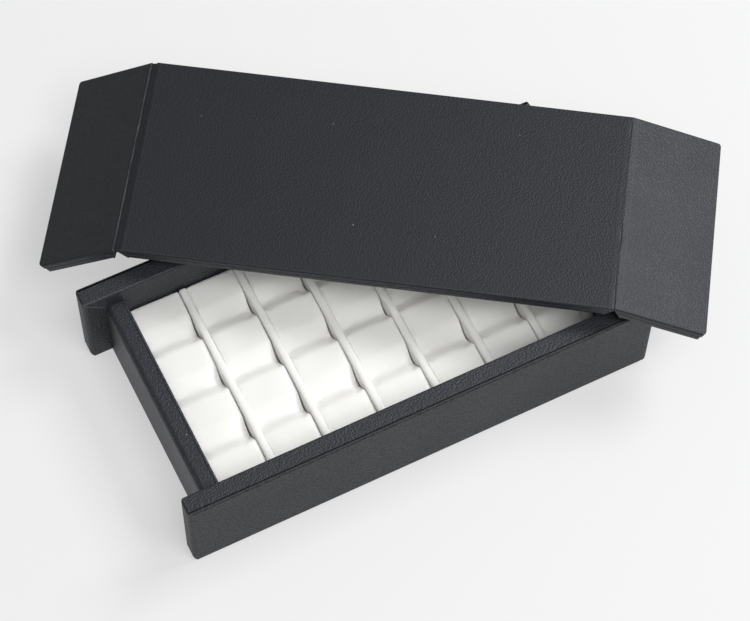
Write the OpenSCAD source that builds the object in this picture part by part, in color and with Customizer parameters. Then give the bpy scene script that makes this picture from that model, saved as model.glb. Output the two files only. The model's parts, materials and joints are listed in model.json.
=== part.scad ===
// Mineral specimen box: a tray of padded cells with a loose lid whose two end flaps fold down.
// The lid is stored as photographed: lying askew on the tray, with both flaps drooping.
// X runs along the tray, Y to its rear, Z up; the origin is the centre of the tray's underside.

/* [Tray] */
// Length over the tips of the long walls
tray_l = 202.4; // [190:0.2:230]
// Width over the outer faces of the long walls
tray_w = 108.4; // [107.6:0.2:112]
// Height of the long walls
tray_h = 43.4; // [42:0.2:44]
// Thickness of a covered long wall
wall_t = 8.4; // [7:0.2:9]
// How far the long walls run past the end walls
wing = 9.2; // [7.6:0.2:12]
// Thickness of a covered end wall
end_t = 8.2; // [6:0.2:10]
// Step from the long wall's rim down to the end wall's top
end_step = 8; // [6:0.5:12]

/* [Cells] */
// Number of padded columns along the tray
columns = 7; // [7:7]
// Distance from one pad crest to the next
row_pitch = 24.6; // [20:0.2:30]
// Height of the pad crests above the underside
crest_z = 25.4; // [23:0.2:26]
// Depth of the valley between two crests
valley = 3.8; // [2:0.2:6]
// Thickness of a covered divider
divider_t = 3.4; // [3:0.2:5]
// Height of the divider tops above the underside
divider_z = 27; // [25:0.2:28]

/* [Lid] */
// Length of the lid panel from crease to crease
lid_l = 196; // [190:1:198]
// Width of the lid
lid_w = 89.6; // [84:0.2:90]
// Thickness of the covered panel and flaps
lid_t = 5.7; // [5.3:0.1:5.8]
// Length of a flap from its crease to its free edge
flap_l = 38.6; // [30:0.2:40]
// Width of the soft crease between panel and flap
crease_w = 4.2; // [3:0.2:5]
// Depth of the fold line below the lid's top face
fold_depth = 1.2; // [1:0.1:1.4]
// Thickness of the pad under the lid
pad_t = 6.3; // [6.2:0.1:7]

/* [Photographed pose] */
// Lid centre to the right of the tray centre
lid_x = 25.3; // [20:0.1:26]
// Lid centre behind the tray centre
lid_y = 39.3; // [39.3:0.1:41]
// Clockwise turn of the lid seen from above
lid_turn = 34; // [34:0.5:36]
// Droop of the left flap below the panel
left_droop = 33; // [20:1:45]
// Droop of the right flap, which leans on the tray's corner
right_droop = 18.6; // [10:0.1:18.6]

/* [Hidden] */
$fn = 48;

leatherette = "#36373b";
lining_black = "#2b2c30";
board_dyed = "#33302e";
white_pad = "#eceae6";
magnet_steel = "#a9abae";

// Covering materials and small clearances
skin_t = 0.8;
sheet_t = 0.5;
play = 0.1;
overrun = 1;

// Tray
seam_in = 0.8;
seam_gap = 0.7;
end_cut_in = 1;
end_cut_gap = 0.4;
tip_cap = 0.8;
base_t = 2.6;
insert_t = 1.5;
card_t = 1.2;
sheet_inset = 1.5;
inner_w = tray_w - 2 * wall_t;
end_outer_x = tray_l / 2 - wing;
inner_l = 2 * (end_outer_x - end_t);
end_h = tray_h - end_step;
base_top = sheet_t + base_t;
insert_top = base_top + insert_t;
pad_base = insert_top + card_t;
rim_r = 0.9;
tip_r = 2;
foot_r = 3.4;
end_round = 2.4;
magnet_d = 8;
magnet_t = 1.5;
magnet_y = 26;
magnet_z = 20;

// Cells
column_pitch = inner_l / columns;
pad_gap = 0.15;
steps_per_row = 13;
crest_share = 0.4;
fall_share = 0.36;
crest_sink = 0.15;
side_pinch = 0.5;
first_crest_y = inner_w / 2 - 0.8;
pad_y0 = -inner_w / 2 + pad_gap;
pad_y1 = inner_w / 2 - pad_gap;
pad_rings = ceil((pad_y1 - pad_y0) / row_pitch * steps_per_row);

// Lid and flaps
outer_share = 0.47;
outer_t = lid_t * outer_share;
lid_edge_r = 0.8;
inner_inset = 0.3;
fold_slack = 0.3;
mitre_head = fold_slack - fold_depth;
crease_reach = crease_w / 2 - 0.2;
crease_round = (crease_w / 2 - mitre_head) * tan(22.5);
crease_overcut = 0.005;
left_crease_drop = 0.7;
right_crease_drop = 0.15;
flap_corner_r = 2;
lid_top = tray_h + pad_t + lid_t;
lid_pad_l = inner_l - 3;
lid_pad_w = lid_w - 9.6;
pad_skin = 0.6;

// Flat helpers

module round_rect(w, h, r) {
    union() {
        square([w - 2 * r, h], center = true);
        square([w, h - 2 * r], center = true);
        for (sx = [-1, 1], sy = [-1, 1])
            translate([sx * (w / 2 - r), sy * (h / 2 - r)])
                circle(r);
    }
}

// A rectangle from the origin to [w, h] with one radius for each corner, from lower left anticlockwise
module corner_rect(w, h, radii) {
    corners = [[0, 0], [w, 0], [w, h], [0, h]];
    inward = [[1, 1], [-1, 1], [-1, -1], [1, -1]];
    difference() {
        square([w, h]);
        for (i = [0:3])
            if (radii[i] > 0)
                translate(corners[i])
                    mirror([inward[i][0] < 0 ? 1 : 0, 0])
                        mirror([0, inward[i][1] < 0 ? 1 : 0])
                            difference() {
                                translate([-overrun, -overrun])
                                    square(radii[i] + overrun);
                                translate([radii[i], radii[i]])
                                    circle(radii[i]);
                            }
    }
}

// Extrude a profile drawn in Y and Z along X, from x0 to x1
module along_x(x0, x1) {
    translate([x0, 0, 0])
        rotate([90, 0, 90])
            linear_extrude(x1 - x0)
                children();
}

// Extrude a profile drawn in X and Z along Y, from y0 to y1
module along_y(y0, y1) {
    translate([0, y1, 0])
        rotate([90, 0, 0])
            linear_extrude(y1 - y0)
                children();
}

// Long walls, drawn for the front one

// The wall's outline shrunk by inset all round: soft tips in plan, rounded lower corners, eased rim
module wall_form(inset) {
    len = tray_l - 2 * inset;
    thick = wall_t - 2 * inset;
    high = tray_h - sheet_t - 2 * inset;
    r = max(rim_r - inset / 2, 0.3);
    translate([0, -tray_w / 2 + inset, sheet_t + inset])
        intersection() {
            along_x(-len / 2, len / 2)
                corner_rect(thick, high, [r, r, r, r]);
            translate([-len / 2, 0, 0])
                along_y(-overrun, thick + overrun)
                    corner_rect(len, high, [foot_r - inset, foot_r - inset, r, r]);
            translate([-len / 2, 0, -overrun])
                linear_extrude(high + 2 * overrun)
                    corner_rect(len, thick, [for (i = [0:3]) tip_r - inset]);
        }
}

// Where the inner lining lies: over the rim, down the inside, and mitred down each wing
module rim_lining_zone(edge_y) {
    along_y(edge_y, -tray_w / 2 + wall_t + overrun)
        polygon([
            [-tray_l / 2 + tip_cap, tray_h + overrun],
            [-tray_l / 2 + tip_cap, tray_h - tip_cap],
            [-end_outer_x, end_h],
            [-end_outer_x, sheet_t + skin_t],
            [end_outer_x, sheet_t + skin_t],
            [end_outer_x, end_h],
            [tray_l / 2 - tip_cap, tray_h - tip_cap],
            [tray_l / 2 - tip_cap, tray_h + overrun]
        ]);
}

module wall_shell() {
    difference() {
        wall_form(0);
        wall_form(skin_t);
    }
}

module wall_board() {
    color(board_dyed) wall_form(skin_t);
}

module wall_wrap() {
    color(leatherette)
        difference() {
            wall_shell();
            rim_lining_zone(-tray_w / 2 + seam_in);
        }
}

module rim_lining() {
    color(lining_black)
        intersection() {
            wall_shell();
            rim_lining_zone(-tray_w / 2 + seam_in + seam_gap);
        }
}

module to_rear() {
    mirror([0, 1, 0]) children();
}

module front_wall_board() {
    wall_board();
}

module front_wall_wrap() {
    wall_wrap();
}

module front_rim_lining() {
    rim_lining();
}

module rear_wall_board() {
    to_rear() wall_board();
}

module rear_wall_wrap() {
    to_rear() wall_wrap();
}

module rear_rim_lining() {
    to_rear() rim_lining();
}

// End walls, drawn for the left one

module end_form(inset, outer_r) {
    along_y(-inner_w / 2, inner_w / 2)
        translate([-end_outer_x + inset, sheet_t + inset])
            corner_rect(end_t - 2 * inset, end_h - sheet_t - 2 * inset, [0.4, 0.4, 0.6, outer_r]);
}

module magnet_discs(x, d, t) {
    for (side = [-1, 1])
        translate([x, side * magnet_y, magnet_z])
            rotate([0, 90, 0])
                cylinder(d = d, h = t);
}

module end_board() {
    color(board_dyed)
        difference() {
            end_form(skin_t, end_round - skin_t);
            magnet_discs(-end_outer_x + skin_t - overrun, magnet_d + 2 * play, magnet_t + play + overrun);
        }
}

// The covering, with a fine cut line near the inner edge of the wall's top
module end_wrap() {
    cut_x = -end_outer_x + end_t - end_cut_in - end_cut_gap;
    color(leatherette)
        difference() {
            end_form(0, end_round);
            end_form(skin_t, end_round - skin_t);
            translate([cut_x, -inner_w / 2 - overrun, end_h - skin_t / 2])
                cube([end_cut_gap, inner_w + 2 * overrun, skin_t]);
        }
}

module end_magnets() {
    color(magnet_steel)
        magnet_discs(-end_outer_x + skin_t, magnet_d, magnet_t);
}

module to_right() {
    mirror([1, 0, 0]) children();
}

module left_end_board() {
    end_board();
}

module left_end_wrap() {
    end_wrap();
}

module left_end_magnets() {
    end_magnets();
}

module right_end_board() {
    to_right() end_board();
}

module right_end_wrap() {
    to_right() end_wrap();
}

module right_end_magnets() {
    to_right() end_magnets();
}

// Floor of the tray

module base_lining() {
    color(lining_black)
        linear_extrude(sheet_t)
            round_rect(2 * (end_outer_x - sheet_inset), tray_w - 2 * sheet_inset, 2);
}

module base_board() {
    color(board_dyed)
        translate([-inner_l / 2, -inner_w / 2, sheet_t])
            cube([inner_l, inner_w, base_t]);
}

module insert_board() {
    color(board_dyed)
        translate([-inner_l / 2 + pad_gap, pad_y0, base_top])
            cube([inner_l - 2 * pad_gap, pad_y1 - pad_y0, insert_t]);
}

// Padded columns

function divider_x(i) = (i - columns / 2) * column_pitch;
function column_left(i) =
    i == 1 ? -inner_l / 2 + pad_gap : divider_x(i - 1) + divider_t / 2 + pad_gap;
function column_right(i) =
    i == columns ? inner_l / 2 - pad_gap : divider_x(i) - divider_t / 2 - pad_gap;

// Share of the way from crest (0) to valley (1): a broad crest, a slope down to the front, a steeper rise
function phase(y) = let (t = (first_crest_y - y) / row_pitch) t - floor(t);
function ease(s) = (1 - cos(180 * s)) / 2;
function sink(y) =
    let (t = phase(y), foot = crest_share + fall_share)
    t < crest_share ? crest_sink * t / crest_share :
    t < foot ? crest_sink + (1 - crest_sink) * ease((t - crest_share) / fall_share) :
    1 - ease((t - foot) / (1 - foot));
function pad_top(y) = crest_z - valley * sink(y);

// The covering is drawn down more at the column's right side than at its left
function left_drop(y) = 0.6 + 0.5 * sink(y);
function right_drop(y) = 0.8 + 1.8 * sink(y);

// Half of the crown as share of the half width and share of the edge drop
crown = [[1, 1], [0.93, 0.55], [0.8, 0.22], [0.45, 0.03]];

function pad_ring(i, y) =
    let (
        x0 = column_left(i),
        x1 = column_right(i) - side_pinch * sink(y),
        mid = (x0 + x1) / 2,
        half = (x1 - x0) / 2,
        top = pad_top(y),
        n = len(crown)
    )
    concat(
        [[column_left(i), y, pad_base]],
        [for (k = [0:n - 1]) [mid - half * crown[k][0], y, top - left_drop(y) * crown[k][1]]],
        [for (k = [n - 1:-1:0]) [mid + half * crown[k][0], y, top - right_drop(y) * crown[k][1]]],
        [[column_right(i), y, pad_base]]
    );

module pad(i) {
    n = 2 * len(crown) + 2;
    points = [for (s = [0:pad_rings]) each pad_ring(i, pad_y0 + (pad_y1 - pad_y0) * s / pad_rings)];
    last = pad_rings * n;
    sides = [for (s = [0:pad_rings - 1], k = [0:n - 1])
        let (a = s * n + k, b = s * n + (k + 1) % n)
        each [[a, b, b + n], [a, b + n, a + n]]];
    front_cap = [for (k = [1:n - 2]) [0, k + 1, k]];
    rear_cap = [for (k = [1:n - 2]) [last, last + k, last + k + 1]];
    color(white_pad)
        polyhedron(points, concat(sides, front_cap, rear_cap));
}

module pad_card(i) {
    color(board_dyed)
        translate([column_left(i), pad_y0, insert_top])
            cube([column_right(i) - column_left(i), pad_y1 - pad_y0, card_t]);
}

module divider(i) {
    color(white_pad)
        along_y(pad_y0, pad_y1)
            translate([divider_x(i), insert_top])
                union() {
                    translate([-divider_t / 2, 0])
                        square([divider_t, divider_z - insert_top - divider_t / 2]);
                    translate([0, divider_z - insert_top - divider_t / 2])
                        circle(d = divider_t);
                }
}

// Lid, drawn flat about its own centre with the top face at z = 0

module on_tray() {
    translate([lid_x, lid_y, lid_top])
        rotate([0, 0, -lid_turn])
            children();
}

// A board profile across the lid: width w between z0 and z1, with eased edges
module board_profile(w, z0, z1, r) {
    translate([0, (z0 + z1) / 2])
        round_rect(w, z1 - z0, r);
}

// What is cut off a board's 45 degree edge at the origin, the board to the left, to round it. The
// circle is a hair larger than one that touches both faces, so that it cuts them cleanly.
module edge_rounding() {
    start = crease_round / tan(22.5);
    slope = start * cos(45);
    difference() {
        polygon([
            [-start, 0],
            [-start, overrun],
            [overrun, overrun],
            [overrun - slope, -overrun - slope],
            [-slope, -slope]
        ]);
        translate([-start, -crease_round])
            circle(crease_round + crease_overcut);
    }
}

// The panel's side outline: its ends slope back at 45 degrees from the fold so that the flaps can fold down
module panel_outline() {
    top_x = lid_l / 2 - mitre_head;
    foot_x = top_x - lid_t;
    difference() {
        polygon([[-foot_x, -lid_t], [foot_x, -lid_t], [top_x, 0], [-top_x, 0]]);
        translate([top_x, 0])
            edge_rounding();
        translate([-top_x, 0])
            mirror([1, 0])
                edge_rounding();
    }
}

module panel_clip() {
    along_y(-lid_w, lid_w) panel_outline();
}

// The covered outer layer and the covered inner layer, as profiles across the lid
module outer_profile() {
    board_profile(lid_w, -outer_t, 0, lid_edge_r);
}

module outer_core_profile() {
    translate([-lid_w / 2 + skin_t, -outer_t])
        square([lid_w - 2 * skin_t, outer_t - skin_t]);
}

module inner_profile() {
    board_profile(lid_w - 2 * inner_inset, -lid_t, -outer_t, lid_edge_r);
}

module inner_core_profile() {
    translate([-lid_w / 2 + inner_inset + sheet_t, -lid_t + sheet_t])
        square([lid_w - 2 * inner_inset - 2 * sheet_t, lid_t - outer_t - sheet_t]);
}

module lid_outer_board() {
    color(board_dyed)
        on_tray()
            intersection() {
                panel_clip();
                along_x(-lid_l / 2, lid_l / 2) outer_core_profile();
            }
}

module lid_skin() {
    color(leatherette)
        on_tray()
            intersection() {
                panel_clip();
                along_x(-lid_l / 2, lid_l / 2)
                    difference() {
                        outer_profile();
                        outer_core_profile();
                    }
            }
}

module lid_inner_board() {
    color(board_dyed)
        on_tray()
            intersection() {
                panel_clip();
                along_x(-lid_l / 2, lid_l / 2) inner_core_profile();
            }
}

module lid_lining() {
    color(lining_black)
        on_tray()
            intersection() {
                panel_clip();
                along_x(-lid_l / 2, lid_l / 2)
                    difference() {
                        inner_profile();
                        inner_core_profile();
                    }
            }
}

module lid_pad_form(inset) {
    translate([0, 0, -lid_t - pad_t + inset])
        linear_extrude(pad_t - inset)
            round_rect(lid_pad_l - 2 * inset, lid_pad_w - 2 * inset, 3 - inset);
}

module lid_pad_foam() {
    color(white_pad)
        on_tray() lid_pad_form(pad_skin);
}

module lid_pad_cover() {
    color(white_pad)
        on_tray()
            difference() {
                lid_pad_form(0);
                lid_pad_form(pad_skin);
            }
}

// Flaps, drawn flat with the crease along Y at the origin and the flap running towards +X

// The flap's side outline, its creased end sloping like the panel's
module flap_outline(inset) {
    difference() {
        polygon([
            [mitre_head, 0],
            [mitre_head + lid_t, -lid_t],
            [flap_l - inset, -lid_t],
            [flap_l - inset, 0]
        ]);
        translate([mitre_head, 0])
            mirror([1, 0])
                edge_rounding();
    }
}

module flap_clip(inset) {
    intersection() {
        along_y(-lid_w, lid_w)
            flap_outline(inset);
        translate([0, 0, -lid_t - overrun])
            linear_extrude(lid_t + 2 * overrun)
                translate([0, -lid_w / 2 + inset])
                    corner_rect(flap_l - inset, lid_w - 2 * inset, [0, flap_corner_r, flap_corner_r, 0]);
    }
}

module flap_outer_core() {
    intersection() {
        flap_clip(skin_t);
        along_x(0, flap_l) outer_core_profile();
    }
}

module flap_outer_board_flat() {
    color(board_dyed) flap_outer_core();
}

module flap_skin_flat() {
    color(leatherette)
        difference() {
            intersection() {
                flap_clip(0);
                along_x(0, flap_l) outer_profile();
            }
            flap_outer_core();
        }
}

module flap_inner_core() {
    intersection() {
        flap_clip(inner_inset + sheet_t);
        along_x(0, flap_l) inner_core_profile();
    }
}

// Distance from the crease to the flap's magnets, which meet those in the end wall when closed
function flap_magnet_x() = end_h + lid_t - magnet_z;

module flap_magnet_discs(d, z0, z1) {
    for (side = [-1, 1])
        translate([flap_magnet_x(), side * magnet_y, z0])
            cylinder(d = d, h = z1 - z0);
}

module flap_inner_board_flat() {
    color(board_dyed)
        difference() {
            flap_inner_core();
            flap_magnet_discs(magnet_d + 2 * play, -lid_t, -lid_t + sheet_t + magnet_t + play);
        }
}

module flap_lining_flat() {
    color(lining_black)
        difference() {
            intersection() {
                flap_clip(inner_inset);
                along_x(0, flap_l) inner_profile();
            }
            flap_inner_core();
        }
}

module flap_magnets_flat() {
    color(magnet_steel)
        flap_magnet_discs(magnet_d, -lid_t + sheet_t, -lid_t + sheet_t + magnet_t);
}

// A child drawn flat is hung on the panel's right or left crease and swung down about the fold line
module swing_down(droop) {
    translate([lid_l / 2, 0, -fold_depth])
        rotate([0, droop, 0])
            translate([0, 0, fold_depth])
                children();
}

module on_right_crease() {
    on_tray()
        swing_down(right_droop)
            children();
}

module on_left_crease() {
    on_tray()
        mirror([1, 0, 0])
            swing_down(left_droop)
                children();
}

module left_flap_outer_board() {
    on_left_crease() flap_outer_board_flat();
}

module left_flap_skin() {
    on_left_crease() flap_skin_flat();
}

module left_flap_inner_board() {
    on_left_crease() flap_inner_board_flat();
}

module left_flap_lining() {
    on_left_crease() flap_lining_flat();
}

module left_flap_magnets() {
    on_left_crease() flap_magnets_flat();
}

module right_flap_outer_board() {
    on_right_crease() flap_outer_board_flat();
}

module right_flap_skin() {
    on_right_crease() flap_skin_flat();
}

module right_flap_inner_board() {
    on_right_crease() flap_inner_board_flat();
}

module right_flap_lining() {
    on_right_crease() flap_lining_flat();
}

module right_flap_magnets() {
    on_right_crease() flap_magnets_flat();
}

// Creases, drawn in X and Z with the top face at z = 0, the panel to the left and the flap drooping right

function turned(p, a) = [p[0] * cos(a) + p[1] * sin(a), -p[0] * sin(a) + p[1] * cos(a)];
function swung(p, a) = turned(p + [0, fold_depth], a) - [0, fold_depth];

// Where a line at this depth below the panel's top meets its swung copy
function fold_point(depth, a) = turned([0, fold_depth - depth], a / 2) / cos(a / 2) - [0, fold_depth];

// The outer skin, pressed down between the boards' rounded edges and reaching the fold line
module crease_skin_profile(a, drop) {
    difference() {
        polygon([
            [-crease_reach, -drop - sheet_t],
            [0, -fold_depth],
            swung([crease_reach, -drop - sheet_t], a),
            swung([crease_reach, -drop], a),
            fold_point(drop, a),
            [-crease_reach, -drop]
        ]);
        translate([-lid_l / 2, 0])
            panel_outline();
        translate([0, -fold_depth])
            rotate(-a)
                translate([0, fold_depth])
                    flap_outline(0);
    }
}

// The lining, glued to both slopes and meeting in a sharp fold under the skin
module crease_lining_profile(a) {
    foot = [mitre_head + lid_t, -lid_t];
    lean = [sheet_t * sqrt(2), 0];
    apex = (lean[0] - fold_slack) / (cos(a / 2) - sin(a / 2));
    polygon([
        [-foot[0], foot[1]],
        [-fold_slack, -fold_depth],
        swung([fold_slack, -fold_depth], a),
        swung(foot, a),
        swung(foot - lean, a),
        turned([0, -apex], a / 2) - [0, fold_depth],
        [-foot[0], foot[1]] + lean
    ]);
}

module crease_skin(a, drop) {
    color(leatherette)
        along_y(-lid_w / 2 + play, lid_w / 2 - play)
            crease_skin_profile(a, drop);
}

module crease_lining(a) {
    color(lining_black)
        along_y(-lid_w / 2 + inner_inset, lid_w / 2 - inner_inset)
            crease_lining_profile(a);
}

module at_right_crease() {
    on_tray() translate([lid_l / 2, 0, 0]) children();
}

module at_left_crease() {
    on_tray() mirror([1, 0, 0]) translate([lid_l / 2, 0, 0]) children();
}

module left_crease_skin() {
    at_left_crease() crease_skin(left_droop, left_crease_drop);
}

module left_crease_lining() {
    at_left_crease() crease_lining(left_droop);
}

module right_crease_skin() {
    at_right_crease() crease_skin(right_droop, right_crease_drop);
}

module right_crease_lining() {
    at_right_crease() crease_lining(right_droop);
}

base_lining();
base_board();
front_wall_board();
front_wall_wrap();
front_rim_lining();
rear_wall_board();
rear_wall_wrap();
rear_rim_lining();
left_end_board();
left_end_wrap();
left_end_magnets();
right_end_board();
right_end_wrap();
right_end_magnets();
insert_board();
pad_card(1);  // pad_card_1
pad_card(2);  // pad_card_2
pad_card(3);  // pad_card_3
pad_card(4);  // pad_card_4
pad_card(5);  // pad_card_5
pad_card(6);  // pad_card_6
pad_card(7);  // pad_card_7
pad(1);  // pad_1
pad(2);  // pad_2
pad(3);  // pad_3
pad(4);  // pad_4
pad(5);  // pad_5
pad(6);  // pad_6
pad(7);  // pad_7
divider(1);  // divider_1
divider(2);  // divider_2
divider(3);  // divider_3
divider(4);  // divider_4
divider(5);  // divider_5
divider(6);  // divider_6
lid_outer_board();
lid_skin();
lid_inner_board();
lid_lining();
lid_pad_foam();
lid_pad_cover();
left_flap_outer_board();
left_flap_skin();
left_flap_inner_board();
left_flap_lining();
left_flap_magnets();
right_flap_outer_board();
right_flap_skin();
right_flap_inner_board();
right_flap_lining();
right_flap_magnets();
left_crease_skin();
left_crease_lining();
right_crease_skin();
right_crease_lining();
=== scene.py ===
import json
import math

import bmesh
import bpy
from mathutils import Matrix, Vector, noise


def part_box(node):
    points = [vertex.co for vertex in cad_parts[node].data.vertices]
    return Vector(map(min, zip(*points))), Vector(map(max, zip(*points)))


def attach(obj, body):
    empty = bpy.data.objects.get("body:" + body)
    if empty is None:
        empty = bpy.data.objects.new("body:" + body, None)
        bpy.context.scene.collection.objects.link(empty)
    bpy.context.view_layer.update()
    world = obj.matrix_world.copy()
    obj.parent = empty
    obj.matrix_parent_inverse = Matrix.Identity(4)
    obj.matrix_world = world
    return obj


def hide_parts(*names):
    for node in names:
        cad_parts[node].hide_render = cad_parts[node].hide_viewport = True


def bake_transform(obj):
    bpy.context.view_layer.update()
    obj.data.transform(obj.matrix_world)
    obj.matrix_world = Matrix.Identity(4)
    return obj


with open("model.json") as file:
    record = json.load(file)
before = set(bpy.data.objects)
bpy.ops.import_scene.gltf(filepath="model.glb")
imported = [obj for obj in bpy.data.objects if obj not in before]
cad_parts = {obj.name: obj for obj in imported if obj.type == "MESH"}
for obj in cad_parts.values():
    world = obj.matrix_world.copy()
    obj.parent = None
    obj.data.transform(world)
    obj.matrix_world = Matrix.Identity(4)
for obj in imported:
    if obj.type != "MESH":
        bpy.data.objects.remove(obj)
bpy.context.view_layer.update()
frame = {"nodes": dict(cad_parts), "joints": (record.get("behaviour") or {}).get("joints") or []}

# Studio: a pale paper sweep, a large soft lamp overhead and to the front, a smaller one high
# on the right, and a dim even room. The camera looks down at the tray from its left front,
# as the photograph does.

CAMERA_AIM = Vector((0.01193, 0.01480, 0.0))
CAMERA_DISTANCE = 1.059
CAMERA_PITCH = math.radians(61.43)
CAMERA_HEADING = math.radians(27.58)
CAMERA_ROLL = math.radians(1.19)
PHOTO_WIDTH = 750
FOCAL_PIXELS = 2573.9
SENSOR_WIDTH = 36.0
NEAREST_SEEN, FURTHEST_SEEN = 0.01, 20
SWEEP_SIZE = 8.0
PAPER = (0.86, 0.86, 0.865, 1)
PAPER_WHITE = (0.846, 0.846, 0.848, 1)
PAPER_GLOW_SHARE = 0.57
ROOM_STRENGTH = 0.30


def place_camera():
    camera = bpy.data.objects.new("photo_camera", bpy.data.cameras.new("photo_camera"))
    bpy.context.scene.collection.objects.link(camera)
    look = Vector((
        math.sin(CAMERA_HEADING) * math.cos(CAMERA_PITCH),
        math.cos(CAMERA_HEADING) * math.cos(CAMERA_PITCH),
        -math.sin(CAMERA_PITCH),
    ))
    right = look.cross(Vector((0, 0, 1))).normalized()
    up = right.cross(look)
    right_rolled = math.cos(CAMERA_ROLL) * right + math.sin(CAMERA_ROLL) * up
    up_rolled = -math.sin(CAMERA_ROLL) * right + math.cos(CAMERA_ROLL) * up
    turn = Matrix((right_rolled, up_rolled, -look)).transposed().to_4x4()
    camera.matrix_world = Matrix.Translation(CAMERA_AIM - look * CAMERA_DISTANCE) @ turn
    camera.data.sensor_width = SENSOR_WIDTH
    camera.data.lens = FOCAL_PIXELS / PHOTO_WIDTH * SENSOR_WIDTH
    camera.data.clip_start = NEAREST_SEEN
    camera.data.clip_end = FURTHEST_SEEN
    bpy.context.scene.camera = camera


def soft_lamp(name, spot, size, watts):
    """A square lamp at this spot, turned to face the tray."""
    lamp = bpy.data.lights.new(name, "AREA")
    lamp.shape = "SQUARE"
    lamp.size = size
    lamp.energy = watts
    thing = bpy.data.objects.new(name, lamp)
    bpy.context.scene.collection.objects.link(thing)
    thing.location = spot
    thing.rotation_mode = "QUATERNION"
    thing.rotation_quaternion = (-Vector(spot)).to_track_quat("-Z", "Y")


def new_material(name):
    """A new material with its node tree and its Principled shader."""
    material = bpy.data.materials.new(name)
    material.use_nodes = True
    tree = material.node_tree
    return material, tree, tree.nodes["Principled BSDF"]


def maths(tree, operation, *values):
    """The result of a Math node; each value is a number or the output socket of a node."""
    node = tree.nodes.new("ShaderNodeMath")
    node.operation = operation
    for socket, value in zip(node.inputs, values):
        if isinstance(value, (int, float)):
            socket.default_value = value
        else:
            tree.links.new(value, socket)
    return node.outputs[0]


def sweep_paper():
    """Matte paper that also shows part of its own white to the camera and in reflections."""
    material, tree, shader = new_material("sweep_paper")
    shader.inputs["Base Color"].default_value = PAPER
    shader.inputs["Roughness"].default_value = 0.9
    shader.inputs["Specular IOR Level"].default_value = 0.1
    glow = tree.nodes.new("ShaderNodeEmission")
    glow.inputs["Color"].default_value = PAPER_WHITE
    rays = tree.nodes.new("ShaderNodeLightPath").outputs
    mirrored = maths(tree, "MAXIMUM", rays["Is Glossy Ray"], rays["Is Transmission Ray"])
    seen = maths(tree, "MAXIMUM", rays["Is Camera Ray"], mirrored)
    blend = tree.nodes.new("ShaderNodeMixShader")
    tree.links.new(maths(tree, "MULTIPLY", seen, PAPER_GLOW_SHARE), blend.inputs["Fac"])
    tree.links.new(shader.outputs["BSDF"], blend.inputs[1])
    tree.links.new(glow.outputs["Emission"], blend.inputs[2])
    tree.links.new(blend.outputs["Shader"], tree.nodes["Material Output"].inputs["Surface"])
    return material


def paper_sweep():
    half = SWEEP_SIZE / 2
    corners = [(-half, -half, 0), (half, -half, 0), (half, half, 0), (-half, half, 0)]
    mesh = bpy.data.meshes.new("paper_sweep")
    mesh.from_pydata(corners, [], [(0, 1, 2, 3)])
    mesh.materials.append(sweep_paper())
    floor = bpy.data.objects.new("paper_sweep", mesh)
    bpy.context.scene.collection.objects.link(floor)


def room_light():
    world = bpy.data.worlds.new("studio_room")
    world.use_nodes = True
    bpy.context.scene.world = world
    back = world.node_tree.nodes["Background"]
    back.inputs["Color"].default_value = (1, 1, 1, 1)
    back.inputs["Strength"].default_value = ROOM_STRENGTH


place_camera()
paper_sweep()
room_light()
soft_lamp("lamp_overhead", spot=(0.11, -0.70, 1.36), size=0.75, watts=11.9)
soft_lamp("lamp_right", spot=(0.97, 0.08, 1.19), size=0.60, watts=13.0)
bpy.context.scene.view_settings.view_transform = "Standard"

# Boards: fibreboard panels and card, dyed dark through so that no pale edge shows in a
# seam. Every wall, the floor, the lid's layers and the card under each pad are cut from it.

MM = 0.001
BOARD_DARK = (0.010, 0.010, 0.010)
BOARD_FIBRE = (0.030, 0.028, 0.026)
FIBRES_PER_METRE = 1500
FIBRE_RELIEF = 0.1 * MM

nodes = frame["nodes"]


def colour_mix(tree, factor, low, high):
    """Mixes from low to high by factor; each is a colour or the output socket of a node."""
    mix = tree.nodes.new("ShaderNodeMix")
    mix.data_type = "RGBA"
    tree.links.new(factor, mix.inputs["Factor"])
    for socket, value in ((mix.inputs["A"], low), (mix.inputs["B"], high)):
        if isinstance(value, tuple):
            socket.default_value = (*value, 1)
        else:
            tree.links.new(value, socket)
    return mix.outputs["Result"]


def drifting(tree, per_metre, detail=2):
    """The outputs of a noise texture over the piece's own places, in metres."""
    place = tree.nodes.new("ShaderNodeTexCoord")
    texture = tree.nodes.new("ShaderNodeTexNoise")
    texture.inputs["Scale"].default_value = per_metre
    texture.inputs["Detail"].default_value = detail
    tree.links.new(place.outputs["Object"], texture.inputs["Vector"])
    return texture.outputs


def raise_surface(tree, shader, height, strength, distance):
    """Embosses the surface by a height from 0 to 1."""
    bump = tree.nodes.new("ShaderNodeBump")
    bump.inputs["Strength"].default_value = strength
    bump.inputs["Distance"].default_value = distance
    tree.links.new(height, bump.inputs["Height"])
    tree.links.new(bump.outputs["Normal"], shader.inputs["Normal"])


def fibreboard():
    material, tree, shader = new_material("dyed_fibreboard")
    fibres = drifting(tree, FIBRES_PER_METRE, detail=3)["Fac"]
    tree.links.new(colour_mix(tree, fibres, BOARD_DARK, BOARD_FIBRE), shader.inputs["Base Color"])
    raise_surface(tree, shader, fibres, 0.3, FIBRE_RELIEF)
    shader.inputs["Roughness"].default_value = 0.85
    return material


def finish_node(name, material):
    """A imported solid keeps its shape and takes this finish."""
    mesh = nodes[name].data
    mesh.materials.clear()
    mesh.materials.append(material)


BOARD = fibreboard()
for name in nodes:
    if "board" in name or "card" in name:
        finish_node(name, BOARD)

# Leatherette: a black coated cloth with a fine pebble grain, glued round every board. It is
# rubbed a little paler along the edges and holds a few specks of dust. The hollows between the
# pebbles are coloured darker than their tops, partly as painted shade. The lid's skin is the
# darkest. The walls and the linings, the end walls' wraps among them, are the same cloth painted
# a shade greyer as painted light, where they catch more light and reflect the floor.

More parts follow.
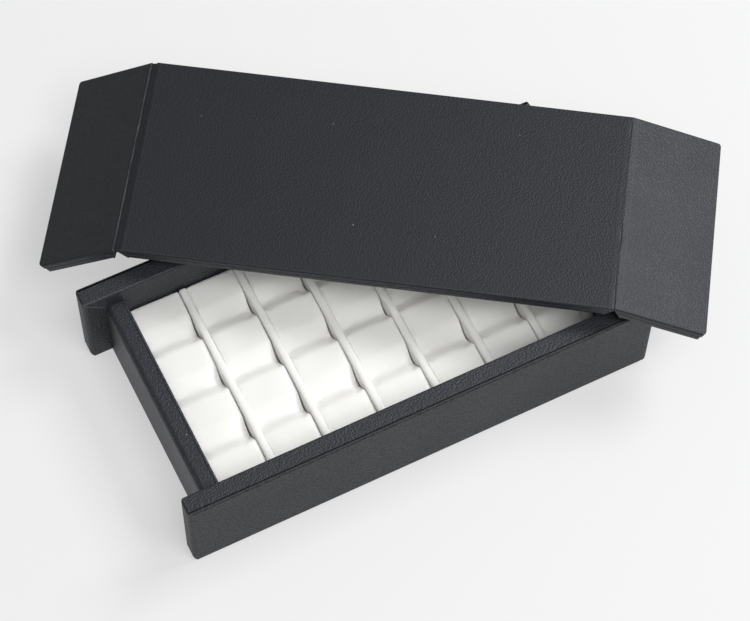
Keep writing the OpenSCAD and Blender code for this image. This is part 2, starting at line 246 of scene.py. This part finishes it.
DUST_PLACES_PER_METRE = 110
DUST_LEFT_BARE = 0.55
DUST_GREY = (0.30, 0.30, 0.29)
RUBBED_WIDTH = 0.9 * MM
VALLEY_DULLNESS = 0.06
PEBBLE_GLOSS = 0.04
HANDLED_DULLNESS = 0.08
PEBBLE_RELIEF = 0.15 * MM
PEBBLE_WARP = 0.4 * MM
WARPS_PER_METRE = 900
PATCHES_PER_METRE = 60
BLUISH_SHEEN = (0.92, 0.95, 1.0, 1)


def effect_group(name, given, results):
    """A new node group with these inputs and outputs, and their sockets inside it."""
    group = bpy.data.node_groups.new(name, "ShaderNodeTree")
    for label in given:
        group.interface.new_socket(label, in_out="INPUT", socket_type="NodeSocketFloat")
    for label in results:
        group.interface.new_socket(label, in_out="OUTPUT", socket_type="NodeSocketFloat")
    return group, group.nodes.new("NodeGroupInput").outputs, group.nodes.new("NodeGroupOutput").inputs


def use_group(tree, group, given, value):
    """The outputs of a group placed in this tree, with its one input set to a value."""
    node = tree.nodes.new("ShaderNodeGroup")
    node.node_tree = group
    node.inputs[given].default_value = value
    return node.outputs


def mask(tree, value, none_at, full_at, kind="LINEAR"):
    """0 where the value is none_at, 1 where it is full_at, and between them in between."""
    node = tree.nodes.new("ShaderNodeMapRange")
    node.interpolation_type = kind
    node.inputs["From Min"].default_value = none_at
    node.inputs["From Max"].default_value = full_at
    tree.links.new(value, node.inputs["Value"])
    return node.outputs["Result"]


def stretched(tree, value, low, high):
    """A value from 0 to 1 stretched to run from low to high."""
    node = tree.nodes.new("ShaderNodeMapRange")
    node.inputs["To Min"].default_value = low
    node.inputs["To Max"].default_value = high
    tree.links.new(value, node.inputs["Value"])
    return node.outputs["Result"]


def pebble_grain():
    """Pebble height and a slow unevenness, from places in metres."""
    group, given, results = effect_group("pebble_grain", ["Pebbles per metre"], ["Height", "Unevenness"])
    new, link = group.nodes.new, group.links.new
    place = new("ShaderNodeTexCoord")
    shift = new("ShaderNodeVectorMath")
    shift.operation = "MULTIPLY_ADD"
    shift.inputs[1].default_value = (PEBBLE_WARP, PEBBLE_WARP, PEBBLE_WARP)
    pebbles = new("ShaderNodeTexVoronoi")
    pebbles.feature = "SMOOTH_F1"
    pebbles.inputs["Smoothness"].default_value = 0.5
    link(drifting(group, WARPS_PER_METRE, detail=1)["Color"], shift.inputs[0])
    link(place.outputs["Object"], shift.inputs[2])
    link(shift.outputs[0], pebbles.inputs["Vector"])
    link(given["Pebbles per metre"], pebbles.inputs["Scale"])
    rounded = mask(group, pebbles.outputs["Distance"], none_at=0.75, full_at=0.10, kind="SMOOTHSTEP")
    link(rounded, results["Height"])
    link(drifting(group, PATCHES_PER_METRE, detail=4)["Fac"], results["Unevenness"])
    return group


def rubbed_edges():
    """A mask that is 1 on the outer edges of a board and 0 on its faces."""
    group, given, results = effect_group("rubbed_edges", ["Width"], ["Mask"])
    new, link = group.nodes.new, group.links.new
    bevel = new("ShaderNodeBevel")
    bevel.samples = 4
    shape = new("ShaderNodeNewGeometry")
    facing = new("ShaderNodeVectorMath")
    facing.operation = "DOT_PRODUCT"
    link(given["Width"], bevel.inputs["Radius"])
    link(bevel.outputs["Normal"], facing.inputs[0])
    link(shape.outputs["Normal"], facing.inputs[1])
    link(mask(group, facing.outputs["Value"], none_at=0.999, full_at=0.86), results["Mask"])
    return group


def dust_specks():
    """A mask of sparse tiny specks."""
    group, given, results = effect_group("dust_specks", ["Places per metre"], ["Mask"])
    new, link = group.nodes.new, group.links.new
    place = new("ShaderNodeTexCoord")
    spots = new("ShaderNodeTexVoronoi")
    link(place.outputs["Object"], spots.inputs["Vector"])
    link(given["Places per metre"], spots.inputs["Scale"])
    near = mask(group, spots.outputs["Distance"], none_at=0.030, full_at=0.018)
    chosen = maths(group, "GREATER_THAN", spots.outputs["Color"], DUST_LEFT_BARE)
    link(maths(group, "MULTIPLY", near, chosen), results["Mask"])
    return group


PEBBLE_GRAIN = pebble_grain()
RUBBED_EDGES = rubbed_edges()
DUST_SPECKS = dust_specks()


def leatherette(name, pebbles, low, high, rubbed, roughness, relief):
    """Coated cloth: darker and dull between the pebbles, paler and glossy on them, rubbed along edges. The
    darker hollows are partly painted shade.
    """
    material, tree, shader = new_material(name)
    grain = use_group(tree, PEBBLE_GRAIN, "Pebbles per metre", pebbles)
    edges = use_group(tree, RUBBED_EDGES, "Width", RUBBED_WIDTH)
    dust = use_group(tree, DUST_SPECKS, "Places per metre", DUST_PLACES_PER_METRE)
    # The pebbles' tops are paler and the hollows between them darker: the cloth's own grain, partly painted
    # shade in the hollows.
    pebble_tone_and_painted_shade = colour_mix(tree, grain["Height"], low, high)
    patchy = maths(tree, "MULTIPLY", edges["Mask"], grain["Unevenness"])
    worn = colour_mix(tree, patchy, pebble_tone_and_painted_shade, rubbed)
    tree.links.new(colour_mix(tree, dust["Mask"], worn, DUST_GREY), shader.inputs["Base Color"])
    gloss = stretched(tree, grain["Height"], roughness + VALLEY_DULLNESS, roughness - PEBBLE_GLOSS)
    handled = maths(tree, "MULTIPLY_ADD", grain["Unevenness"], HANDLED_DULLNESS, gloss)
    tree.links.new(handled, shader.inputs["Roughness"])
    raise_surface(tree, shader, grain["Height"], relief, PEBBLE_RELIEF)
    shader.inputs["Specular Tint"].default_value = BLUISH_SHEEN
    return material


# One black cloth in three copies: the lid's is the darkest, and the walls' and the linings' are painted
# lighter as painted light.
LID_SKIN = leatherette(
    "lid_leatherette", pebbles=1250, roughness=0.435, relief=0.40,
    low=(0.0072, 0.0080, 0.0102), high=(0.0096, 0.0106, 0.0134), rubbed=(0.015, 0.016, 0.019),
)
WALL_SKIN_PAINTED_LIGHTER = leatherette(
    "wall_leatherette_painted_lighter", pebbles=1100, roughness=0.48, relief=0.90,
    low=(0.0040, 0.0050, 0.0068), high=(0.0195, 0.0218, 0.0255), rubbed=(0.017, 0.018, 0.021),
)
LINING_PAINTED_LIGHTER = leatherette(
    "lining_leatherette_painted_lighter", pebbles=1250, roughness=0.44, relief=0.75,
    low=(0.0150, 0.0166, 0.0210), high=(0.0245, 0.0268, 0.0330), rubbed=(0.036, 0.038, 0.043),
)
for name in nodes:
    if "lining" in name or "end_wrap" in name:
        finish_node(name, LINING_PAINTED_LIGHTER)
    elif "wrap" in name:
        finish_node(name, WALL_SKIN_PAINTED_LIGHTER)
    elif "skin" in name:
        finish_node(name, LID_SKIN)

# Cut edges: where the rim lining is mitred down each wing, a thin strip of the cut edge stands
# proud from the tip down to the end wall. Its pale threaded colour is a painted highlight along the edge.

TIP_RADIUS = 2.0 * MM
RIM_CAP = 0.8 * MM
CUT_WIDTH = 0.30 * MM
CUT_PROUD = 0.10 * MM
CUT_STEPS = 24
CUT_WAVER = 0.15 * MM
CUT_WAVES_PER_METRE = 700
END_WALL_GAP = 0.1 * MM
THREADS_PER_METRE = 2500
THREAD_GREY = (0.05, 0.05, 0.052)
THREAD_PAINTED_HIGHLIGHT = (0.22, 0.22, 0.225)
CRISP_CORNER = math.radians(50)


def pale_thread_painted_highlight():
    material, tree, shader = new_material("pale_thread_painted_highlight")
    threads = drifting(tree, THREADS_PER_METRE)["Fac"]
    # Pale threads: a painted highlight along the mitred edge.
    tree.links.new(colour_mix(tree, threads, THREAD_GREY, THREAD_PAINTED_HIGHLIGHT), shader.inputs["Base Color"])
    shader.inputs["Roughness"].default_value = 0.9
    return material


PAINTED_HIGHLIGHT_THREADS = pale_thread_painted_highlight()


def drift(x, y, z):
    """A smooth wandering value, mostly between -1 and 1, always the same for the same three numbers.
    One runs along a piece, and the others give each piece a course of its own."""
    return noise.noise(Vector((x, y, z)))


def mesh_piece(name, verts, faces, material, crisp=False):
    """A smooth closed form with its faces turned outwards; crisp keeps its sharp corners."""
    mesh = bpy.data.meshes.new(name)
    mesh.from_pydata(verts, [], faces)
    form = bmesh.new()
    form.from_mesh(mesh)
    bmesh.ops.recalc_face_normals(form, faces=form.faces)
    for face in form.faces:
        face.smooth = True
    form.to_mesh(mesh)
    form.free()
    if crisp:
        mesh.set_sharp_from_angle(angle=CRISP_CORNER)
    mesh.materials.append(material)
    thing = bpy.data.objects.new(name, mesh)
    bpy.context.scene.collection.objects.link(thing)
    return thing


def swept_rings(rings):
    """Quads between closed rings of equal length, with the two ends closed."""
    count = len(rings[0])
    verts = [point for ring in rings for point in ring]
    faces = []
    for first in range(0, len(verts) - count, count):
        for k in range(count):
            here, beside = first + k, first + (k + 1) % count
            faces.append((here, beside, beside + count, here + count))
    faces.append(tuple(range(count))[::-1])
    faces.append(tuple(range(len(verts) - count, len(verts))))
    return verts, faces


def mitre_line(end, wall):
    """The cut edge on the wing at this end (-1 left, 1 right) of this wall (-1 front, 1 rear)."""
    side = "left" if end < 0 else "right"
    wall_name = "front" if wall < 0 else "rear"
    low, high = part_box(f"{wall_name}_wall_wrap")
    end_low, end_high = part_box(f"{side}_end_wrap")
    tip_x = high.x
    inner_y = high.y if wall < 0 else low.y
    far_x = tip_x - RIM_CAP
    near_x = max(abs(end_low.x), abs(end_high.x)) + END_WALL_GAP
    top_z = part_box("front_rim_lining")[1].z - RIM_CAP
    rings = []
    for step in range(CUT_STEPS + 1):
        share = step / CUT_STEPS
        x = far_x + (near_x - far_x) * share
        z = top_z + (end_high.z - top_z) * share
        z += drift(x * CUT_WAVES_PER_METRE, 3.1 * end, 5.7 * wall) * CUT_WAVER
        into_tip = max(0, x - (tip_x - TIP_RADIUS))
        bow = TIP_RADIUS - math.sqrt(max(0, TIP_RADIUS**2 - into_tip**2))
        face_y = inner_y + wall * bow
        proud_y = face_y - wall * CUT_PROUD
        sunk_y = face_y + wall * CUT_PROUD
        rings.append([
            (end * x, sunk_y, z + CUT_WIDTH / 2),
            (end * x, proud_y, z + CUT_WIDTH / 4),
            (end * x, proud_y, z - CUT_WIDTH / 4),
            (end * x, sunk_y, z - CUT_WIDTH / 2),
        ])
    line = mesh_piece(f"{wall_name}_{side}_cut_edge", *swept_rings(rings), PAINTED_HIGHLIGHT_THREADS, crisp=True)
    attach(line, "tray")


for end in (-1, 1):
    for wall in (-1, 1):
        mitre_line(end, wall)

# Magnets: plated discs let into pockets of the end walls and flaps, under the covering.
# The plating is bright, with a slight haze.

PLATING_DARK = (0.52, 0.53, 0.55)
PLATING_PALE = (0.66, 0.67, 0.69)
HAZE_PER_METRE = 400


def plated_steel():
    material, tree, shader = new_material("plated_steel")
    haze = drifting(tree, HAZE_PER_METRE)["Fac"]
    tree.links.new(stretched(tree, haze, 0.2, 0.4), shader.inputs["Roughness"])
    tree.links.new(colour_mix(tree, haze, PLATING_DARK, PLATING_PALE), shader.inputs["Base Color"])
    shader.inputs["Metallic"].default_value = 1
    return material


PLATED = plated_steel()
for name in nodes:
    if "magnets" in name:
        finish_node(name, PLATED)

# White covering: matte coated cloth with a very fine grain, drawn over the pads and folded
# over the dividers. It is a touch warm and slightly uneven in tone.

WHITE_LOW = (0.855, 0.85, 0.825)
WHITE_HIGH = (0.895, 0.892, 0.868)
WHITE_PEBBLES_PER_METRE = 1700
WHITE_RELIEF = 0.1 * MM
LIGHT_REACH = 2.2 * MM


def white_covering():
    material, tree, shader = new_material("white_covering")
    grain = use_group(tree, PEBBLE_GRAIN, "Pebbles per metre", WHITE_PEBBLES_PER_METRE)
    tone = colour_mix(tree, grain["Unevenness"], WHITE_LOW, WHITE_HIGH)
    tree.links.new(tone, shader.inputs["Base Color"])
    tree.links.new(stretched(tree, grain["Unevenness"], 0.58, 0.72), shader.inputs["Roughness"])
    raise_surface(tree, shader, grain["Height"], 0.18, WHITE_RELIEF)
    shader.inputs["Subsurface Weight"].default_value = 0.35
    shader.inputs["Subsurface Radius"].default_value = (1, 0.97, 0.92)
    shader.inputs["Subsurface Scale"].default_value = LIGHT_REACH
    return material


WHITE = white_covering()

# Padded columns: a foam strip cut in waves on a card, with the white covering drawn over it
# and tucked down at both sides, more on the right. Each is a closed form whose covering is
# then run as cloth, held where it is tucked in.

COLUMNS = 7
ROW_PITCH = 24.6 * MM
FIRST_CREST_Y = 45.0 * MM
CREST_SHARE = 0.40
CREST_SINK = 0.15
FALL_SHARE = 0.36
CREST_RISE = 0.3 * MM
VALLEY_DEPTH = 2.35 * MM
WAVE_WANDER = 1.2 * MM
WANDERS_PER_METRE = 55
LUMP_HEIGHT = 0.25 * MM
LUMPS_PER_METRE = 95
CREST_TUCK_LEFT, CREST_TUCK_RIGHT = 0.15 * MM, 0.12 * MM
VALLEY_TUCK_LEFT, VALLEY_TUCK_RIGHT = 0.60 * MM, 1.97 * MM
SIDE_PINCH = 0.5 * MM
CREST_PRESS = 0.11 * MM
SHOULDER = 0.35 * MM
SIDE_DEPTHS = (1.5 * MM, 3.5 * MM, 7.5 * MM)
STEPS_ALONG = 96
STEPS_ACROSS = 20
HELD_FAST, HELD_AT_EDGE, HELD_LOOSELY = 1.0, 0.9, 0.03
EDGE_FROM = 0.86
CLOTH_SCALE = 20
SETTLE_FRAMES = 20


def ease(share):
    """Runs from 0 to 1 with a soft start and a soft end."""
    return (1 - math.cos(math.pi * share)) / 2


def sink(y):
    """0 on a crest and 1 in a valley: a broad crest, a slope down to the front, a steeper rise."""
    phase = ((FIRST_CREST_Y - y) / ROW_PITCH) % 1
    foot = CREST_SHARE + FALL_SHARE
    if phase < CREST_SHARE:
        return CREST_SINK * phase / CREST_SHARE
    if phase < foot:
        return CREST_SINK + (1 - CREST_SINK) * ease((phase - CREST_SHARE) / FALL_SHARE)
    return 1 - ease((phase - foot) / (1 - foot))


def column_ring(number, low, high, y):
    """One closed slice of a column, and how firmly each of its points is held."""
    depth = sink(y + drift(y * WANDERS_PER_METRE, number * 3.7, 0.5) * WAVE_WANDER)
    top = high.z + CREST_RISE - VALLEY_DEPTH * depth
    press = CREST_PRESS * (1 - depth)
    left, right = low.x - press, high.x + press - SIDE_PINCH * depth
    left_drop = CREST_TUCK_LEFT + (VALLEY_TUCK_LEFT - CREST_TUCK_LEFT) * depth
    right_drop = CREST_TUCK_RIGHT + (VALLEY_TUCK_RIGHT - CREST_TUCK_RIGHT) * depth
    ring, held = [(low.x, y, low.z)], [HELD_FAST]
    for below in reversed(SIDE_DEPTHS):
        ring.append((left, y, top - left_drop - below))
        held.append(HELD_FAST)
    ring.append((left, y, top - left_drop - SHOULDER))
    held.append(HELD_AT_EDGE)
    for k in range(STEPS_ACROSS + 1):
        share = k / STEPS_ACROSS
        across = 0.45 * -math.cos(math.pi * share) + 0.55 * (2 * share - 1)
        fall = left_drop * abs(across) ** 7 if across < 0 else right_drop * across**3.5
        lumps = drift(across * 1.3 + number * 5.1, y * LUMPS_PER_METRE, number * 2.3) * LUMP_HEIGHT
        ring.append((
            (left + right) / 2 + ((right - left) / 2 - SHOULDER * 0.5) * across,
            y,
            top - fall + lumps * (1 - abs(across) ** 3),
        ))
        near_edge = max(0, (abs(across) - EDGE_FROM) / (1 - EDGE_FROM))
        held.append(HELD_LOOSELY + (HELD_AT_EDGE - HELD_LOOSELY) * near_edge)
    ring.append((right, y, top - right_drop - SHOULDER))
    held.append(HELD_AT_EDGE)
    for below in SIDE_DEPTHS:
        ring.append((high.x - SIDE_PINCH * depth * 0.6, y, top - right_drop - below))
        held.append(HELD_FAST)
    ring.append((high.x, y, low.z))
    held.append(HELD_FAST)
    return ring, held


def hold(piece, weights):
    """Marks how firmly the covering is held at each point."""
    tucked = piece.vertex_groups.new(name="tucked")
    for i, weight in enumerate(weights):
        tucked.add([i], weight, "REPLACE")


def padded_column(number):
    low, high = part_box(f"pad_{number}")
    rings, held = [], []
    for step in range(STEPS_ALONG + 1):
        y = low.y + (high.y - low.y) * step / STEPS_ALONG
        ring, ring_held = column_ring(number, low, high, y)
        rings.append(ring)
        at_end = step in (0, STEPS_ALONG)
        held += [HELD_FAST if at_end else h for h in ring_held]
    column = mesh_piece(f"padded_column_{number}", *swept_rings(rings), WHITE)
    hold(column, held)
    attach(column, "tray")
    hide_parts(f"pad_{number}")
    return column


def settle(covers, push, slack, furthest):
    """Runs the coverings as cloth over their foam, pressed out from inside, with some slack to wrinkle.
    No point ends further than furthest from where it started."""
    scene = bpy.context.scene
    for thing in covers:
        thing.data.transform(Matrix.Scale(CLOTH_SCALE, 4))
        cloth = thing.modifiers.new("covering", "CLOTH")
        cloth.point_cache.frame_start = 1
        cloth.point_cache.frame_end = SETTLE_FRAMES
        feel = cloth.settings
        feel.quality = 6
        feel.vertex_group_mass = "tucked"
        feel.use_pressure = True
        feel.uniform_pressure_force = push
        feel.shrink_min = -slack
        feel.bending_stiffness = 2
        feel.effector_weights.gravity = 0
    for moment in range(1, SETTLE_FRAMES + 1):
        scene.frame_set(moment)
    depsgraph = bpy.context.evaluated_depsgraph_get()
    cap = furthest * CLOTH_SCALE
    for thing in covers:
        settled = thing.evaluated_get(depsgraph).to_mesh()
        places = [v.co.copy() for v in settled.vertices]
        thing.evaluated_get(depsgraph).to_mesh_clear()
        for vertex, place in zip(thing.data.vertices, places):
            move = place - vertex.co
            if move.length > 0:
                vertex.co += move * (cap * math.tanh(move.length / cap) / move.length)
    for thing in covers:
        thing.modifiers.remove(thing.modifiers["covering"])
        thing.data.transform(Matrix.Scale(1 / CLOTH_SCALE, 4))
        thing.data.update()
    scene.frame_set(1)


def soften(thing):
    rounder = thing.modifiers.new("rounder", "SUBSURF")
    rounder.levels = 1
    rounder.render_levels = 1


columns = [padded_column(number) for number in range(1, COLUMNS + 1)]
settle(columns, push=4, slack=0.035, furthest=0.45 * MM)
for column in columns:
    soften(column)

# Dividers: a card fin with the white covering folded over its top, standing between two
# columns. The fold is softly rounded, and it wanders and swells a little along its length.

DIVIDER_STEPS = 60
FOLD_SEGMENTS = 10
FOLD_BLUNTNESS = 0.8
FOLD_HEIGHT = 0.7
FOLD_WIDTH = 0.98
FOLD_SWAY = 0.22 * MM
SWAYS_PER_METRE = 45
FOLD_SWELL = 0.08
SWELLS_PER_METRE = 70
FOLD_WAVER = 0.25 * MM
WAVERS_PER_METRE = 60
TOP_SHORTFALL = 0.1 * MM
FOOT_HEIGHT = 8 * MM


def divider(number):
    low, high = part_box(f"divider_{number}")
    middle, half = (low.x + high.x) / 2, (high.x - low.x) / 2
    rings = []
    for step in range(DIVIDER_STEPS + 1):
        y = low.y + (high.y - low.y) * step / DIVIDER_STEPS
        sway = drift(y * SWAYS_PER_METRE, number * 9.3, 1.5) * FOLD_SWAY
        swell = half * (FOLD_WIDTH + FOLD_SWELL * drift(y * SWELLS_PER_METRE, number * 4.1, 8.5))
        rise = FOLD_HEIGHT * swell
        top = high.z - TOP_SHORTFALL + drift(y * WAVERS_PER_METRE, number * 6.7, 4.5) * FOLD_WAVER
        ring = [(middle - half, y, low.z), (middle - half, y, low.z + FOOT_HEIGHT)]
        for k in range(FOLD_SEGMENTS + 1):
            turn = math.pi * k / FOLD_SEGMENTS
            aside = math.copysign(abs(math.cos(turn)) ** FOLD_BLUNTNESS, math.cos(turn))
            ring.append((
                middle + sway - swell * aside,
                y,
                top - rise + rise * math.sin(turn) ** FOLD_BLUNTNESS,
            ))
        ring += [(middle + half, y, low.z + FOOT_HEIGHT), (middle + half, y, low.z)]
        rings.append(ring)
    fin = mesh_piece(f"covered_divider_{number}", *swept_rings(rings), WHITE)
    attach(fin, "tray")
    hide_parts(f"divider_{number}")
    soften(fin)


for number in range(1, COLUMNS):
    divider(number)

# Lid pad: a flat foam pad in the same white covering, glued under the panel. Its edges are
# rounded, its sides draw in between the corners and its face carries a few soft dimples.

PAD_LENGTH = 164.6 * MM
PAD_WIDTH = 80.0 * MM
PAD_ROUNDING = 2.6 * MM
PAD_DRAWN_IN = 0.8 * MM
PAD_ROOM_BELOW = 0.5 * MM
DIMPLE_DEPTH = 0.2 * MM
DIMPLES_ALONG, DIMPLES_ACROSS = 30, 45
PAD_STEPS_LONG = 72
PAD_STEPS_WIDE = 40
FACE_HOLD = 0.05

joint_places = {j["name"]: Vector(j["pos_m"]) for j in frame["joints"] if "pos_m" in j}
left_line, right_line = joint_places["left_fold"], joint_places["right_fold"]
lid_centre = (left_line + right_line) / 2
lid_along = (right_line - left_line).normalized()
lid_across = Vector((0, 0, 1)).cross(lid_along)


def on_lid(along, across, z):
    """A place given along and across the lid from its centre, at height z above the floor."""
    return Vector((*(lid_centre + lid_along * along + lid_across * across).xy, z))


def spread(share):
    """Even steps in the middle of an edge and closer ones at its two ends, from -1 to 1."""
    return 0.5 * math.sin(math.pi / 2 * (2 * share - 1)) + 0.5 * (2 * share - 1)


def lid_pad():
    low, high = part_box("lid_pad_cover")
    thick = high.z - low.z - PAD_ROOM_BELOW
    rows, cols = PAD_STEPS_WIDE + 1, PAD_STEPS_LONG + 1
    glued, face, faces = [], [], []
    for j in range(rows):
        for i in range(cols):
            along, across = spread(i / PAD_STEPS_LONG), spread(j / PAD_STEPS_WIDE)
            x = along * (PAD_LENGTH / 2 - PAD_DRAWN_IN * (1 - across**2) * abs(along) ** 6)
            y = across * (PAD_WIDTH / 2 - PAD_DRAWN_IN * (1 - along**2) * abs(across) ** 6)
            past_x = max(0, abs(x) - (PAD_LENGTH / 2 - PAD_DRAWN_IN - PAD_ROUNDING))
            past_y = max(0, abs(y) - (PAD_WIDTH / 2 - PAD_DRAWN_IN - PAD_ROUNDING))
            past = min(PAD_ROUNDING, math.hypot(past_x, past_y))
            rise = PAD_ROUNDING - math.sqrt(PAD_ROUNDING**2 - past**2)
            dimple = max(0, drift(x * DIMPLES_ALONG, y * DIMPLES_ACROSS, 2.5) * DIMPLE_DEPTH)
            glued.append(on_lid(x, y, high.z))
            face.append(on_lid(x, y, high.z - thick + rise + dimple))
    size = rows * cols
    for j in range(rows - 1):
        for i in range(cols - 1):
            above = j * cols + i
            below = above + size
            faces.append((above, above + 1, above + cols + 1, above + cols))
            faces.append((below, below + cols, below + cols + 1, below + 1))
    rim = list(range(cols))
    rim += [j * cols + cols - 1 for j in range(1, rows)]
    rim += [(rows - 1) * cols + i for i in range(cols - 2, -1, -1)]
    rim += [j * cols for j in range(rows - 2, 0, -1)]
    for here, beside in zip(rim, rim[1:] + rim[:1]):
        faces.append((beside, here, size + here, size + beside))
    pad = mesh_piece("lid_pad", glued + face, faces, WHITE)
    hold(pad, [HELD_FAST] * size + [FACE_HOLD] * size)
    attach(pad, "lid")
    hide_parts("lid_pad_foam", "lid_pad_cover")
    return pad


underpad = lid_pad()
settle([underpad], push=2, slack=0.02, furthest=0.25 * MM)
soften(underpad)

# Creases: between the panel and each flap the skin runs on alone over the boards' rounded edges,
# glued to the lining below, and is the hinge. The left one is open and pressed in. The right one
# is a slack fold that lies flush, with a few puckers along it.

CREASE_HALF = 2.1 * MM
CREASE_BREADTH = 0.75
CREASE_STEPS = 170
DIP_STEPS = 12
HEM_STEPS = 6
LID_WIDTH = 89.6 * MM
LID_THICKNESS = 5.7 * MM
LID_EDGE_RADIUS = 0.8 * MM
HEM_SHARE = 0.95
SKIN_THICKNESS = 0.5 * MM
SKIN_INSET = 0.03 * MM
SKIN_PROUD = 0.008 * MM
LAP = 1.0 * MM
LAP_RISE = ((0.0, -0.03 * MM), (0.15, -0.004 * MM), (0.35, 0.006 * MM), (0.7, SKIN_PROUD))
LAP_THICKNESS_SHARE = 0.06
THICKENING = 1.6
STRAYS_PER_METRE = 70
DIPS_PER_METRE = 130
DIP_CHANGE = 0.25
PUCKERS_PER_METRE = 110
PUCKER_PLACE = 0.6 * MM
PUCKER_WIDTH = 0.28 * MM
LINING_INSET = 0.4 * MM
FOLD_SLACK = 0.3 * MM

lid_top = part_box("lid_skin")[1].z
fold_depth = lid_top - left_line.z


def swung(x, z, angle):
    """A point beside the crease, given from the fold's place on the lid's top, swung down as a flap is."""
    reach = z + fold_depth
    return Vector((
        x * math.cos(angle) + reach * math.sin(angle),
        reach * math.cos(angle) - x * math.sin(angle) - fold_depth,
    ))


def crease_piece(name, side, outline, half_width, material, replaced):
    """Sweeps a closed outline along one crease, shaped as it lies bent between the panel and the flap at
    the flap's droop.
    """
    line = left_line if side < 0 else right_line
    outward = lid_along * side
    hem_reach = LID_EDGE_RADIUS * HEM_SHARE
    flat_half = half_width - hem_reach
    hem = [flat_half + hem_reach * math.sin(math.pi / 2 * k / HEM_STEPS) for k in range(1, HEM_STEPS + 1)]
    stations = [-h for h in reversed(hem)]
    stations += [flat_half * (2 * s / CREASE_STEPS - 1) for s in range(CREASE_STEPS + 1)]
    stations += hem
    rings = []
    for along in stations:
        past = max(0, abs(along) - flat_half)
        fall = LID_EDGE_RADIUS - math.sqrt(LID_EDGE_RADIUS**2 - past**2)
        ring = []
        for point in outline(along, fall):
            place = line + outward * point.x + lid_across * along
            ring.append((place.x, place.y, lid_top + point.y))
        rings.append(ring)
    piece = mesh_piece(name, *swept_rings(rings), material, crisp=True)
    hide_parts(replaced)
    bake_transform(piece)


def crease_skin(name, side, droop, drop, stray, pucker, replaced):
    """The skin laps thinly over both boards and dips between them; stray moves the fold line about."""
    whole = min(SKIN_THICKNESS, fold_depth - drop)

    def outline(along, fall):
        aside = drift(along * STRAYS_PER_METRE, side * 4.0, 3.5) * stray
        deeper = drop * (1 + DIP_CHANGE * drift(along * DIPS_PER_METRE, side * 6.0, 1.5))
        groove = pucker * max(0, drift(along * PUCKERS_PER_METRE, side * 2.0, 7.5))
        half = [(CREASE_HALF + LAP * (1 - share), rise) for share, rise in LAP_RISE]
        half += [(CREASE_HALF * (1 - k / DIP_STEPS), SKIN_PROUD) for k in range(DIP_STEPS + 1)]
        upper, lower = [], []
        for on_flap in (False, True):
            for x, rise in reversed(half) if on_flap else half:
                inside = max(0, 1 - x / CREASE_HALF)
                z = rise - deeper * ease(inside**CREASE_BREADTH) - fall
                if not on_flap:
                    z -= groove * math.exp(-(((x - PUCKER_PLACE) / PUCKER_WIDTH) ** 2))
                shift = aside * inside**2
                thick = whole * min(1, LAP_THICKNESS_SHARE + inside * THICKENING)
                for line, height in ((upper, z), (lower, z - thick)):
                    if on_flap:
                        line.append(swung(x + shift, height, droop))
                    else:
                        line.append(Vector((-x + shift, height)))
        return upper + lower[::-1]

    crease_piece(name, side, outline, LID_WIDTH / 2 - SKIN_INSET, LID_SKIN, replaced)


def crease_lining(name, side, droop, replaced):
    """Down the panel's slope, a sharp fold under the skin, and down the flap's slope."""
    foot_x = LID_THICKNESS - fold_depth + FOLD_SLACK
    lean = SKIN_THICKNESS * math.sqrt(2)
    apex = (lean - FOLD_SLACK) / (math.cos(droop / 2) - math.sin(droop / 2))

    def outline(along, fall):
        return [
            Vector((-foot_x, -LID_THICKNESS)),
            Vector((-FOLD_SLACK, -fold_depth)),
            swung(FOLD_SLACK, -fold_depth, droop),
            swung(foot_x, -LID_THICKNESS, droop),
            swung(foot_x - lean, -LID_THICKNESS, droop),
            Vector((-math.sin(droop / 2) * apex, -math.cos(droop / 2) * apex - fold_depth)),
            Vector((lean - foot_x, -LID_THICKNESS)),
        ]

    crease_piece(name, side, outline, LID_WIDTH / 2 - LINING_INSET, LINING_PAINTED_LIGHTER, replaced)


fold_ranges = {j["name"]: j["range_deg"] for j in frame["joints"] if "range_deg" in j}
left_droop = math.radians(-fold_ranges["left_fold"][0])
right_droop = math.radians(-fold_ranges["right_fold"][0])
crease_skin(
    "left_fold_skin", -1, left_droop, drop=0.90 * MM, stray=0.15 * MM, pucker=0, replaced="left_crease_skin"
)
crease_lining("left_fold_lining", -1, left_droop, "left_crease_lining")
crease_skin(
    "right_fold_skin", 1, right_droop, drop=0.03 * MM, stray=0.55 * MM, pucker=0.25 * MM,
    replaced="right_crease_skin",
)
crease_lining("right_fold_lining", 1, right_droop, "right_crease_lining")
